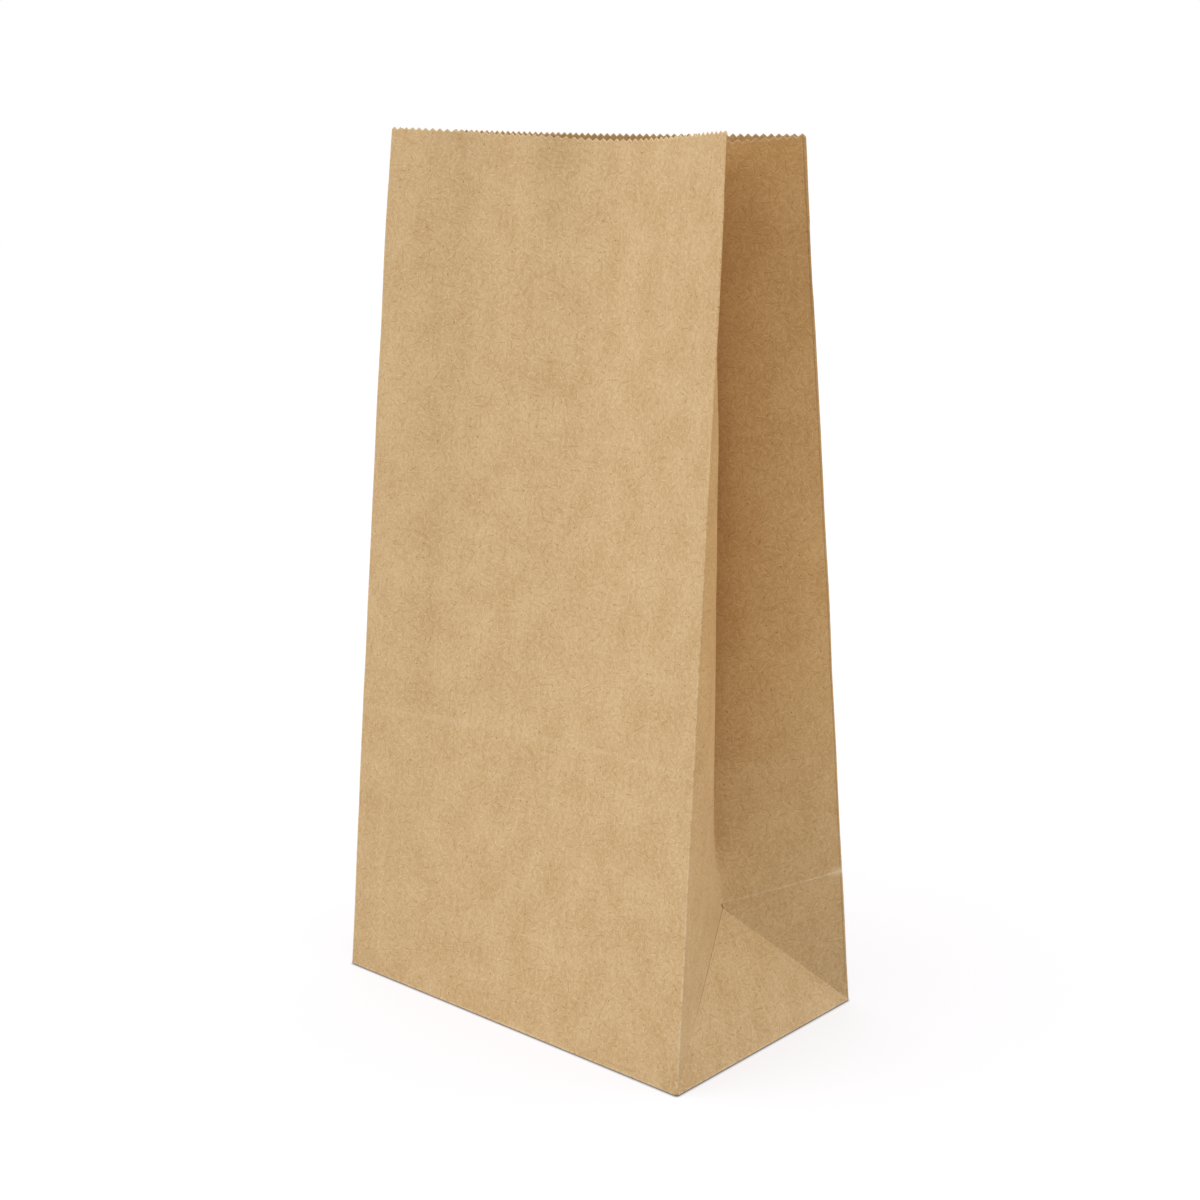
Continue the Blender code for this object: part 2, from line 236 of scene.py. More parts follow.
# The walls in the order in which the sheet meets them: each one's points, its places along the
# sheet, counted from the front panel's left fold, and its places along the knife.
gusset_places = numpy.concatenate([half_gusset, BAG_DEPTH - half_gusset[-2::-1]])
inward = numpy.minimum(gusset_places, BAG_DEPTH - gusset_places)
walls = {
    "back_over": (back_over[:, ::-1], -BAG_DEPTH - over[::-1], over[::-1]),
    "left": (left[:, ::-1], -gusset_places[::-1], inward),
    "front": (front, wide, wide),
    "right": (right, BAG_WIDTH + gusset_places, inward),
    "back_under": (back_under[:, ::-1], BAG_DEPTH + 2 * BAG_WIDTH - under[::-1], under[::-1]),
}
spans, start = {}, 0
for name, (wall, places, knife) in walls.items():
    spans[name] = (start, start + len(places))
    start += len(places) - 1
ring = numpy.zeros((len(heights), start + 1, 3))
ring_place, ring_knife = numpy.zeros(start + 1), numpy.zeros(start + 1)
for name, (first, last) in spans.items():
    ring[:, first:last], ring_place[first:last], ring_knife[first:last] = walls[name]

# A fold in paper has a small radius, so the points beside each one are eased together.
edge_folds = [spans[name][0] for name in ("left", "front", "right", "back_under")]
inner_folds = [(spans[name][0] + spans[name][1] - 1) // 2 for name in ("left", "right")]
for turn in range(FOLD_PASSES):
    for fold in edge_folds + inner_folds:
        beside = ring[:, fold - 2:fold + 3].copy()
        ring[:, fold - 1:fold + 2] = (beside[:, :-2] + 2 * beside[:, 1:-1] + beside[:, 2:]) / 4


# The base.
# Two end flaps lie on the inside. The front panel's long flap is glued over them, and the back
# panel's long flap over that one. The long flaps' corners are folded in at 45 degrees.
FLAP_OVERLAP = 0.018
END_FLAP_LENGTH = 0.034
LONG_FLAP_LENGTH = HALF_DEPTH + FLAP_OVERLAP / 2
FLAP_INSET = 0.0004
BEND_STEPS = 3
LONG_FLAP_STOPS = (0.0015, 0.008, 0.016, 0.024, 0.032, 0.040, LONG_FLAP_LENGTH)
END_FLAP_STOPS = (0.0004, 0.0015, 0.010, 0.020, 0.030, END_FLAP_LENGTH)

points = [tuple(point) for row in ring for point in row]
sheet = [(place, height, 0.0) for height in heights for place in ring_place]
grid = numpy.arange(len(points)).reshape(len(heights), -1)
faces = []


def bend_under(level):
    """Steps (inward, z) down the small bend from a wall to a flap at this level."""
    radius = END_FLAP_LEVEL - level
    angles = [math.pi / 2 * step / BEND_STEPS for step in range(1, BEND_STEPS + 1)]
    return [(radius * (1 - math.cos(angle)), END_FLAP_LEVEL - radius * math.sin(angle)) for angle in angles]


def add_flap(first, last, path, place_points):
    """Continues the sheet from the walls' bottom row, along steps (inward, z) under the bag."""
    above = list(grid[0, first:last])
    bottom = ring[0, first:last]
    for inward, level in path:
        start = len(points)
        points.extend(place_points(bottom, inward, level))
        sheet.extend((place, -inward, 0.0) for place in ring_place[first:last])
        below = list(range(start, start + last - first))
        faces.extend([below[n], below[n + 1], above[n + 1], above[n]] for n in range(last - first - 1))
        above = below


def long_flap(side):
    """Places points of a long flap, whose ends follow its corners' 45 degree folds."""
    straight = HALF_WIDTH - LONG_FLAP_LENGTH

    def place_points(bottom, inward, level):
        squeeze = (HALF_WIDTH - inward - straight) / (HALF_WIDTH - straight)
        x = bottom[:, 0]
        x = numpy.where(abs(x) > straight, numpy.sign(x) * (straight + (abs(x) - straight) * squeeze), x)
        return [(place, side * (HALF_DEPTH - inward), level) for place in x]
    return place_points


def end_flap(side):
    """Places points of an end flap, which just clears the long walls."""
    def place_points(bottom, inward, level):
        narrow = 1.0 - FLAP_INSET / HALF_DEPTH
        return [(side * (HALF_WIDTH - inward), narrow * y, level) for y in bottom[:, 1]]
    return place_points


rear_path = bend_under(REAR_FLAP_LEVEL) + [(stop, REAR_FLAP_LEVEL) for stop in LONG_FLAP_STOPS]
front_path = bend_under(FRONT_FLAP_LEVEL) + [(stop, FRONT_FLAP_LEVEL) for stop in LONG_FLAP_STOPS]
end_path = [(stop, END_FLAP_LEVEL) for stop in END_FLAP_STOPS]
unlapped = spans["back_under"][0] + int(numpy.sum(under > LAP_END - COLUMN_STEP / 2))
add_flap(*spans["back_over"], rear_path, long_flap(1))
add_flap(*spans["left"], end_path, end_flap(-1))
add_flap(*spans["front"], front_path, long_flap(-1))
add_flap(*spans["right"], end_path, end_flap(1))
add_flap(spans["back_under"][0], unlapped, rear_path, long_flap(1))

for row in range(len(heights) - 1):
    below, above = grid[row].tolist(), grid[row + 1].tolist()
    for name, (first, last) in spans.items():
        for n in range(first, last - 1):
            a, b, c, d = below[n], below[n + 1], above[n + 1], above[n]
            if name not in ("left", "right"):
                faces.append([a, b, c, d])
            elif n - first < (last - first) // 2:
                faces += [[a, b, c], [a, c, d]]
            else:
                faces += [[a, b, d], [b, c, d]]


# The marks in the sheet.
# Its folds, the crease where the base was turned up, the line pressed round the bag a base's depth
# up, and painted shade in the gussets' recesses. The paper's colour and relief follow them.
BASE_CREASE_HEIGHT = HALF_DEPTH + 0.0018
PRESSED_AT = ((-HALF_DEPTH, 0.0790), (0.0, 0.0801), (BAG_WIDTH, 0.0862), (BAG_WIDTH + BAG_DEPTH, 0.0764))
RECESS_SHADE_HEIGHT = 0.125
RECESS_SHADE_EDGE_SHARE = 0.85
CALM_HEIGHT = 0.012
NOWHERE = 1.0

sheet = numpy.array(sheet)
place, height = sheet[:, 0], sheet[:, 1]
knife = numpy.zeros(len(points))
knife[:grid.size] = numpy.tile(ring_knife, len(heights))
cut = numpy.zeros(len(points))
cut[grid[-1]] = 1.0
in_left = (place <= 0) & (place >= -BAG_DEPTH)
in_right = (place >= BAG_WIDTH) & (place <= BAG_WIDTH + BAG_DEPTH)
in_gusset = in_left | in_right
in_front = (place >= 0) & (place <= BAG_WIDTH)
from_edge = numpy.where(in_left, numpy.minimum(-place, place + BAG_DEPTH), 0.0)
from_edge = numpy.where(in_right, numpy.minimum(place - BAG_WIDTH, BAG_WIDTH + BAG_DEPTH - place), from_edge)
from_edge = numpy.where(in_front, numpy.minimum(place, BAG_WIDTH - place), from_edge)
from_edge = numpy.where(place < -BAG_DEPTH, -BAG_DEPTH - place, from_edge)
from_edge = numpy.where(place > BAG_WIDTH + BAG_DEPTH, place - BAG_WIDTH - BAG_DEPTH, from_edge)
front_half = (in_left & (place >= -HALF_DEPTH)) | (in_right & (place <= BAG_WIDTH + HALF_DEPTH))
from_diagonal = numpy.where(in_gusset, from_edge - height, NOWHERE)
from_base_crease = numpy.where(in_front | front_half, NOWHERE, height - BASE_CREASE_HEIGHT)
from_pressed = height - numpy.interp(place, *zip(*PRESSED_AT))
# Painted shade in the gussets' recesses: it grows with height, and is strongest near the inner fold of each
# rear half.
rise = numpy.clip(height / RECESS_SHADE_HEIGHT, 0.0, 1.0)
inner = RECESS_SHADE_EDGE_SHARE + (1.0 - RECESS_SHADE_EDGE_SHARE) * numpy.clip(from_edge / HALF_DEPTH, 0.0, 1.0)
recess_shade = numpy.where(in_gusset, rise * numpy.where(front_half, RECESS_SHADE_EDGE_SHARE, inner), 0.0)
creases = numpy.stack([from_edge, from_diagonal, 1.0 * front_half], axis=1)
marks = numpy.stack([from_base_crease, from_pressed, recess_shade], axis=1)
loose = numpy.clip(height / CALM_HEIGHT, 0.0, 1.0)

mesh = bpy.data.meshes.new("paper_bag_sheet")
mesh.from_pydata(points, [], faces)
mesh.shade_smooth()
for name, kind, values in (("sheet", "FLOAT_VECTOR", sheet), ("creases", "FLOAT_VECTOR", creases),
                           ("marks", "FLOAT_VECTOR", marks), ("knife", "FLOAT", knife),
                           ("cut", "FLOAT", cut), ("loose", "FLOAT", loose)):
    field = "vector" if kind == "FLOAT_VECTOR" else "value"
    mesh.attributes.new(name, kind, "POINT").data.foreach_set(field, values.astype(numpy.float32).ravel())
bag = bpy.data.objects.new("paper_bag_sheet", mesh)
bpy.context.scene.collection.objects.link(bag)


# The paper.
# Unbleached kraft, machine made from long brown softwood fibres: matt, warm, cloudy where the
# pulp lay thicker, and flecked with pale and dark fibres and specks of bark.
KRAFT = "#CFB084"
KRAFT_DARK = "#C19F70"
FIBRE_LIGHT = "#E3CBA2"
FIBRE_DARK = "#A67A44"
BARK = "#6E4A28"
# Pale worn paper, and a painted highlight along the folds.
WORN_AND_HIGHLIT = "#EED9B4"
# Painted shade in folds and creases.
FOLD_SHADE = "#6F4A29"
# Painted shade: the darker, warmer tint of the gussets' recesses and of the bag's inner faces.
SHADE_TINT = "#F5E3C4"
KRAFT_ROUGHNESS = 0.82
KRAFT_SPECULAR = 0.35
RELIEF_STRENGTH = 0.35
RELIEF_DEPTH = 0.00006
MM = 1000.0

# Layers of noise: size across and up the sheet in mm, detail, seed, roughness.
CLOUDS = (9.0, 12.0, 3.0, 1.0, 0.5)
FELT = (1.6, 2.1, 3.0, 5.0, 0.6)
GRAIN = (0.28, 0.34, 2.0, 9.0, 0.6)
STREAKS = (0.9, 60.0, 2.0, 13.0, 0.5)
WEAR = (1.1, 1.1, 2.0, 17.0, 0.5)
CRUMPLES = (1.5, 6.0, 2.0, 23.0, 0.5)
SEED_STEP = 2.3
SHADE_SHARES = (1.5, 0.9, 0.7, 0.3)
GRAIN_RELIEF = 0.5
FELT_RELIEF = 0.5

# Fibres: the cell that holds one, its length and width in mm, seed, colour, share and relief.
FIBRES = (
    (1.9, 2.6, 0.17, 1.0, FIBRE_LIGHT, 0.34, 0.6), (1.5, 2.0, 0.15, 2.0, FIBRE_DARK, 0.32, 0.0),
    (2.3, 3.2, 0.20, 3.0, FIBRE_LIGHT, 0.36, 0.6), (1.2, 1.5, 0.14, 4.0, FIBRE_DARK, 0.22, 0.0),
    (3.1, 4.2, 0.20, 5.0, FIBRE_DARK, 0.42, 0.0), (1.3, 1.7, 0.14, 6.0, FIBRE_LIGHT, 0.26, 0.0))
FIBRE_SEED_STEPS = (7.7, 3.1)
FIBRE_BEND = 0.9
FIBRE_CORE = 1.6
FIBRE_END = 4.0

# Bark specks: cell and radii in mm, how sharp their rims are, how few cells hold one, and share.
SPECK_CELL = 2.6
SPECK_RADIUS = 0.03
SPECK_RADIUS_SPREAD = 0.07
SPECK_RIM = 30.0
SPECK_RARITY = 0.72
SPECK = 0.6

# Each mark's half width and its share of its colour. Widths are in metres, in mm where the name says
# so, and in steps of the noise that draws them for the fan and the crumples.
EDGE_WEAR_WIDTH, EDGE_WEAR_AND_HIGHLIGHT = 0.00045, 0.6
REAR_LINE_WIDTH, REAR_LINE = 0.00025, 0.45
PRESSED_WIDTH, PRESSED = 0.0015, 0.09
CREASE_WIDTH, CREASE = 0.0005, 0.65
CREASE_END_WIDTH, CREASE_END_LENGTH, CREASE_END = 0.0022, 0.006, 0.55
DIAGONAL_WIDTH, DIAGONAL = 0.00030, 0.9
DOUBLED_WIDTH, DOUBLED = 0.00025, 0.6
BASE_WEAR_MM, BASE_WEAR = 0.7, 0.45
TORN_MM, TORN = 0.45, 0.7
NICK_WIDTH, NICK_MM, NICK = 0.00035, 1.1, 0.8
SPOT_WIDTH, SPOT_MM, SPOT = 0.0009, 0.9, 0.9
FAN_WIDTH, FAN = 0.03, 0.3
CRUMPLE_WIDTH, CRUMPLE = 0.035, 0.4

# Where the marks start, fade and end.
WEAR_CONTRAST, WEAR_LEVEL = 3.0, 0.7
EDGE_WEAR_BASE, EDGE_WEAR_REACH = 1.15, 0.85
REAR_LINE_OFFSET = 0.0008
IN_GUSSET = 0.05
CREASE_FADE = 0.7
DIAGONAL_REACH, DIAGONAL_START = 0.30, 0.9
DOUBLED_OFFSET, DOUBLED_DROP_MM, DOUBLED_REACH_MM = 0.0001, 1.6, 2.2
NICK_RISE_MM, NICK_GAIN = 0.8, 2.0
FAN_RAYS, FAN_WEAR = 9.0, 0.4
CRUMPLE_REACH_MM, CRUMPLE_REACH = 22.0, 0.010

# How far the marks stand out of the sheet, in the same measure as the grain and the felt.
CREASE_RELIEF = 1.6
CRUMPLE_RELIEF = -1.0
PRESSED_RELIEF = 1.0
FAN_RELIEF = 0.7


def linear(colour):
    """A colour written as sRGB hex, as linear RGBA."""
    parts = [int(colour[n:n + 2], 16) / 255 for n in (1, 3, 5)]
    lit = [part / 12.92 if part <= 0.04045 else ((part + 0.055) / 1.055)**2.4 for part in parts]
    return (*lit, 1.0)


def add(tree, kind, inputs=(), **settings):
    """Adds a node, with its settings, and links or sets the inputs given as {name: value}."""
    node = tree.nodes.new(kind)
    for name, value in settings.items():
        setattr(node, name, value)
    for name, value in dict(inputs).items():
        if isinstance(value, bpy.types.NodeSocket):
            tree.links.new(value, node.inputs[name])
        else:
            node.inputs[name].default_value = value
    return node


def kraft_paper():
    """The paper's material, drawn on the flat sheet."""
    material = bpy.data.materials.new("kraft_paper")
    material.use_nodes = True
    tree = material.node_tree
    tree.nodes.clear()

    def maths(operation, *values, clamp=False):
        node = add(tree, "ShaderNodeMath", dict(enumerate(values)), operation=operation, use_clamp=clamp)
        return node.outputs[0]

    def mixed(share, below, above, blend="MIX"):
        node = add(tree, "ShaderNodeMix", {"Factor": share}, data_type="RGBA", blend_type=blend)
        for name, value in (("A", below), ("B", above)):
            socket = [item for item in node.inputs if item.name == name and item.type == "RGBA"][0]
            if isinstance(value, bpy.types.NodeSocket):
                tree.links.new(value, socket)
            else:
                socket.default_value = value
        return [item for item in node.outputs if item.type == "RGBA"][0]

    flat = add(tree, "ShaderNodeAttribute", attribute_name="sheet").outputs["Vector"]
    flat = add(tree, "ShaderNodeVectorMath", {0: flat, "Scale": MM}, operation="SCALE").outputs[0]
    crease = add(tree, "ShaderNodeAttribute", attribute_name="creases").outputs["Vector"]
    crease = add(tree, "ShaderNodeSeparateXYZ", {0: crease})

    def noise(across, up, detail, seed, roughness):
        scaled = add(tree, "ShaderNodeMapping", {"Vector": flat, "Scale": (1 / across, 1 / up, 1.0)})
        moved = add(tree, "ShaderNodeVectorMath",
                    {0: scaled.outputs[0], 1: (seed, seed * SEED_STEP, 0.0)}, operation="ADD")
        node = add(tree, "ShaderNodeTexNoise", {"Vector": moved.outputs[0], "Scale": 1.0, "Detail": detail,
                                                "Roughness": roughness}, noise_dimensions="2D")
        return node.outputs[0]

    def from_middle(value):
        return maths("SUBTRACT", value, 0.5)

    def line(distance, half_width, *shares):
        """1 where a distance is nothing and 0 from a half width on, times any shares."""
        drawn = maths("SUBTRACT", 1.0, maths("DIVIDE", maths("ABSOLUTE", distance), half_width), clamp=True)
        for share in shares:
            drawn = maths("MULTIPLY", drawn, share)
        return drawn

    def marked(below, share, strength, tone):
        return mixed(maths("MULTIPLY", share, strength), below, linear(tone))

    def fibres(cell, length, width, seed):
        """One curved fibre in each cell of a random pattern, at a random angle."""
        start = tuple(seed * step for step in FIBRE_SEED_STEPS) + (0.0,)
        moved = add(tree, "ShaderNodeVectorMath", {0: flat, 1: start}, operation="ADD").outputs[0]
        cells = add(tree, "ShaderNodeTexVoronoi", {"Vector": moved, "Scale": 1 / cell},
                    voronoi_dimensions="2D", feature="F1")
        chance = add(tree, "ShaderNodeSeparateColor", {0: cells.outputs["Color"]}).outputs
        own = add(tree, "ShaderNodeVectorMath", {0: moved, 1: cells.outputs["Position"]},
                  operation="SUBTRACT").outputs[0]
        angle = maths("MULTIPLY", chance[0], 2 * math.pi)
        turned = add(tree, "ShaderNodeVectorRotate", {"Vector": own, "Angle": angle}, rotation_type="Z_AXIS")
        along, beside, _ = add(tree, "ShaderNodeSeparateXYZ", {0: turned.outputs[0]}).outputs
        bend = maths("MULTIPLY", from_middle(chance[1]), FIBRE_BEND / length)
        offset = maths("MULTIPLY_ADD", maths("MULTIPLY", along, along), bend, beside)
        thick = maths("MULTIPLY", maths("ABSOLUTE", offset), 2 / width)
        thick = maths("SUBTRACT", FIBRE_CORE, thick, clamp=True)
        reach = maths("MULTIPLY_ADD", chance[2], length / 3, length / 6)
        ends = maths("SUBTRACT", 1.0, maths("DIVIDE", maths("ABSOLUTE", along), reach))
        ends = maths("MULTIPLY", ends, FIBRE_END, clamp=True)
        return maths("MULTIPLY", thick, ends)

    clouds, felt, grain, streaks = [noise(*layer) for layer in (CLOUDS, FELT, GRAIN, STREAKS)]
    shade = 0.0
    for layer, share in zip((clouds, felt, grain, streaks), SHADE_SHARES):
        shade = maths("MULTIPLY_ADD", from_middle(layer), share, shade)
    colour = mixed(maths("ADD", shade, 0.5, clamp=True), linear(KRAFT_DARK), linear(KRAFT))

    relief = maths("ADD", maths("MULTIPLY", grain, GRAIN_RELIEF), maths("MULTIPLY", felt, FELT_RELIEF))
    for cell, length, width, seed, tone, share, raised in FIBRES:
        strand = fibres(cell, length, width, seed)
        colour = marked(colour, strand, share, tone)
        if raised:
            relief = maths("MULTIPLY_ADD", strand, raised, relief)

    specks = add(tree, "ShaderNodeTexVoronoi", {"Vector": flat, "Scale": 1 / SPECK_CELL},
                 voronoi_dimensions="2D").outputs
    chance = add(tree, "ShaderNodeSeparateColor", {0: specks["Color"]}).outputs
    rare = maths("GREATER_THAN", chance[0], SPECK_RARITY)
    radius = maths("MULTIPLY_ADD", chance[1], SPECK_RADIUS_SPREAD, SPECK_RADIUS)
    dot = maths("MULTIPLY", maths("SUBTRACT", radius, specks["Distance"]), SPECK_RIM, clamp=True)
    colour = marked(colour, maths("MULTIPLY", dot, rare), SPECK, BARK)

    edge, diagonal, is_front = crease.outputs
    mark = add(tree, "ShaderNodeAttribute", attribute_name="marks").outputs["Vector"]
    base_crease, pressed, recess_shade = add(tree, "ShaderNodeSeparateXYZ", {0: mark}).outputs
    # Painted shade: the gussets' recesses and the bag's inner faces are tinted darker and warmer.
    inside = add(tree, "ShaderNodeAttribute", attribute_name="inside").outputs["Fac"]
    colour = mixed(maths("MAXIMUM", recess_shade, inside), colour, linear(SHADE_TINT), "MULTIPLY")

    up = add(tree, "ShaderNodeSeparateXYZ", {0: flat}).outputs[1]
    tip_mm = HALF_DEPTH * MM
    uneven = maths("MULTIPLY_ADD", from_middle(noise(*WEAR)), WEAR_CONTRAST, WEAR_LEVEL, clamp=True)
    at_rear = maths("SUBTRACT", 1.0, is_front)
    in_gusset = maths("GREATER_THAN", recess_shade, IN_GUSSET)
    from_inner_fold = maths("SUBTRACT", HALF_DEPTH, edge)

    # A pale line along each fold, lighter towards the base: partly worn fibres, partly painted highlight.
    lower = maths("DIVIDE", up, EDGE_WEAR_REACH * BAG_LENGTH * MM)
    lower = maths("SUBTRACT", EDGE_WEAR_BASE, lower, clamp=True)
    colour = marked(colour, line(edge, EDGE_WEAR_WIDTH, uneven, lower), EDGE_WEAR_AND_HIGHLIGHT, WORN_AND_HIGHLIT)
    # Painted shade: a thin dark line beside the folds at the back of the gussets.
    beside = maths("SUBTRACT", edge, REAR_LINE_OFFSET)
    colour = marked(colour, line(beside, REAR_LINE_WIDTH, at_rear, in_gusset), REAR_LINE, FOLD_SHADE)
    soft = line(pressed, PRESSED_WIDTH, maths("SUBTRACT", 1.0, recess_shade))
    colour = marked(colour, soft, PRESSED, WORN_AND_HIGHLIT)

    turned = line(base_crease, CREASE_WIDTH)
    outward = maths("SUBTRACT", 1.0, maths("MULTIPLY", edge, CREASE_FADE / HALF_DEPTH), clamp=True)
    worn = maths("MULTIPLY", maths("MULTIPLY", turned, uneven), outward)
    colour = marked(colour, worn, CREASE, WORN_AND_HIGHLIT)
    near_edge = line(edge, CREASE_END_LENGTH, line(base_crease, CREASE_END_WIDTH))
    colour = marked(colour, near_edge, CREASE_END, WORN_AND_HIGHLIT)

    # Painted shade in the fold's valley: a thin dark line along the facet's front diagonals.
    high = maths("SUBTRACT", maths("DIVIDE", up, DIAGONAL_REACH * tip_mm), DIAGONAL_START, clamp=True)
    colour = marked(colour, line(diagonal, DIAGONAL_WIDTH, is_front, high), DIAGONAL, FOLD_SHADE)
    # Painted shade in a second crease beside the rear diagonal, near the facet's tip.
    near_tip = line(maths("SUBTRACT", up, tip_mm - DOUBLED_DROP_MM), DOUBLED_REACH_MM)
    doubled = line(maths("ADD", diagonal, DOUBLED_OFFSET), DOUBLED_WIDTH, at_rear, near_tip)
    colour = marked(colour, doubled, DOUBLED, FOLD_SHADE)

    colour = marked(colour, line(up, BASE_WEAR_MM, uneven), BASE_WEAR, WORN_AND_HIGHLIT)
    below_mouth = maths("SUBTRACT", up, BAG_LENGTH * MM)
    colour = marked(colour, line(below_mouth, TORN_MM, uneven), TORN, WORN_AND_HIGHLIT)
    # Painted shade in a small nick at the gusset's inner fold, just above the facet's tip.
    above_tip = maths("SUBTRACT", up, tip_mm + NICK_RISE_MM)
    nick = line(from_inner_fold, NICK_WIDTH, line(above_tip, NICK_MM), in_gusset)
    colour = marked(colour, maths("MULTIPLY", nick, NICK_GAIN, clamp=True), NICK, FOLD_SHADE)
    # Painted shade: a small dark spot at the foot of each fold.
    colour = marked(colour, line(edge, SPOT_WIDTH, line(up, SPOT_MM)), SPOT, FOLD_SHADE)

    # Creases that fan out over the facet from its tip.
    angle = maths("ARCTAN2", maths("MULTIPLY", from_inner_fold, MM), maths("SUBTRACT", tip_mm, up))
    rays = add(tree, "ShaderNodeTexNoise", {"W": maths("MULTIPLY", angle, FAN_RAYS), "Scale": 1.0,
                                            "Detail": 2.0}, noise_dimensions="1D").outputs[0]
    on_facet = maths("LESS_THAN", diagonal, NOWHERE / 2)
    on_facet = maths("MULTIPLY", maths("GREATER_THAN", diagonal, 0.0), on_facet)
    fan = line(from_middle(rays), FAN_WIDTH, maths("SUBTRACT", uneven, FAN_WEAR, clamp=True), on_facet)
    colour = marked(colour, fan, FAN, WORN_AND_HIGHLIT)

    # Small creases near the corners of the base, darkened with painted shade.
    crumple = line(from_middle(noise(*CRUMPLES)), CRUMPLE_WIDTH, line(up, CRUMPLE_REACH_MM),
                   line(edge, CRUMPLE_REACH))
    colour = marked(colour, crumple, CRUMPLE, FOLD_SHADE)

    for share, raised in ((turned, CREASE_RELIEF), (crumple, CRUMPLE_RELIEF), (soft, PRESSED_RELIEF),
                          (fan, FAN_RELIEF)):
        relief = maths("MULTIPLY_ADD", share, raised, relief)
    bump = add(tree, "ShaderNodeBump", {"Height": relief, "Strength": RELIEF_STRENGTH,
                                        "Distance": RELIEF_DEPTH})
    shader = add(tree, "ShaderNodeBsdfPrincipled", {
        "Base Color": colour, "Roughness": KRAFT_ROUGHNESS, "Specular IOR Level": KRAFT_SPECULAR,
        "Normal": bump.outputs[0]})
    add(tree, "ShaderNodeOutputMaterial", {"Surface": shader.outputs[0]})
    return material


paper = kraft_paper()


# The cut mouth and the paper's cockle.
# A serrated knife cut the tube off the reel, through all its plies at once. Damp and handling
# have left the dry sheet very slightly wavy, except where the base holds it flat.
TOOTH_HEIGHT = 0.0008
TOOTH_ROOT = 0.8
BROAD_WAVE = (0.00035, 0.045)
COCKLE = (0.00005, 0.009)
# Painted shade on the bag's inner faces: their share of the darker, warmer tint.
INSIDE_SHADE = 0.65
SHARP_ANGLE = math.radians(42)
ON_FOLD = 1e-6


def relief_tree():
    """The modifier that cuts the teeth and waves the sheet."""
    tree = bpy.data.node_groups.new("serrated_mouth_and_cockle", "GeometryNodeTree")
    ports = tree.interface
    ports.new_socket("Sheet", in_out="INPUT", socket_type="NodeSocketGeometry")
    for name in ("Tooth Pitch", "Tooth Height", "Broad Height", "Broad Size", "Cockle Height", "Cockle Size"):
        ports.new_socket(name, in_out="INPUT", socket_type="NodeSocketFloat")
    ports.new_socket("Paper", in_out="INPUT", socket_type="NodeSocketMaterial")
    ports.new_socket("Sheet", in_out="OUTPUT", socket_type="NodeSocketGeometry")
    given = add(tree, "NodeGroupInput").outputs

    def field(name, kind="FLOAT"):
        node = add(tree, "GeometryNodeInputNamedAttribute", {"Name": name}, data_type=kind)
        return node.outputs["Attribute"]

    def maths(operation, *values):
        return add(tree, "ShaderNodeMath", dict(enumerate(values)), operation=operation).outputs[0]

    def wave(height, size):
        spot = add(tree, "ShaderNodeVectorMath", {0: field("sheet", "FLOAT_VECTOR"),
                                                  "Scale": maths("DIVIDE", 1.0, size)}, operation="SCALE")
        noise = add(tree, "ShaderNodeTexNoise", {"Vector": spot.outputs[0], "Scale": 1.0, "Detail": 1.0})
        return maths("MULTIPLY", maths("SUBTRACT", noise.outputs[0], 0.5), maths("MULTIPLY", height, 2.0))

    tooth = maths("PINGPONG", maths("DIVIDE", field("knife"), given["Tooth Pitch"]), 0.5)
    tooth = maths("MULTIPLY", tooth, 2.0)
    tooth = maths("MULTIPLY", maths("SUBTRACT", tooth, TOOTH_ROOT), given["Tooth Height"])
    teeth = add(tree, "ShaderNodeCombineXYZ", {"Z": maths("MULTIPLY", tooth, field("cut"))}).outputs[0]
    waves = maths("ADD", wave(given["Broad Height"], given["Broad Size"]),
                  wave(given["Cockle Height"], given["Cockle Size"]))
    proud = maths("MULTIPLY", waves, field("loose"))
    normal = add(tree, "GeometryNodeInputNormal").outputs[0]
    out = add(tree, "ShaderNodeVectorMath", {0: normal, "Scale": proud}, operation="SCALE").outputs[0]
    move = add(tree, "ShaderNodeVectorMath", {0: out, 1: teeth}, operation="ADD").outputs[0]
    moved = add(tree, "GeometryNodeSetPosition", {"Geometry": given["Sheet"], "Offset": move})
    real = add(tree, "GeometryNodeRealizeInstances", {"Geometry": moved.outputs[0]})
    finished = add(tree, "GeometryNodeSetMaterial", {"Geometry": real.outputs[0], "Material": given["Paper"]})
    add(tree, "NodeGroupOutput", {"Sheet": finished.outputs[0]})
    return tree


relief = bag.modifiers.new("mouth_and_cockle", "NODES")
relief.node_group = relief_tree()
relief_values = {"Tooth Pitch": TOOTH_PITCH, "Tooth Height": TOOTH_HEIGHT, "Broad Height": BROAD_WAVE[0],
                 "Broad Size": BROAD_WAVE[1], "Cockle Height": COCKLE[0], "Cockle Size": COCKLE[1],
                 "Paper": paper}
for item in relief.node_group.interface.items_tree:
    if item.in_out == "INPUT" and item.name in relief_values:
        relief[item.identifier] = relief_values[item.name]
thickness = bag.modifiers.new("paper_thickness", "SOLIDIFY")
thickness.thickness = PAPER_THICKNESS
thickness.offset = 1.0

depsgraph = bpy.context.evaluated_depsgraph_get()
finished_mesh = bpy.data.meshes.new_from_object(bag.evaluated_get(depsgraph), depsgraph=depsgraph,
                                                preserve_all_data_layers=True)
bag.modifiers.clear()
bag.data = finished_mesh
finished_mesh.name = "paper_bag_sheet"
finished_mesh.set_sharp_from_angle(angle=SHARP_ANGLE)
# The inner faces get painted shade: they carry a share of the darker, warmer tint.
inside = [0.0] * len(points) + [INSIDE_SHADE] * (len(finished_mesh.vertices) - len(points))
finished_mesh.attributes.new("inside", "FLOAT", "POINT").data.foreach_set("value", inside)

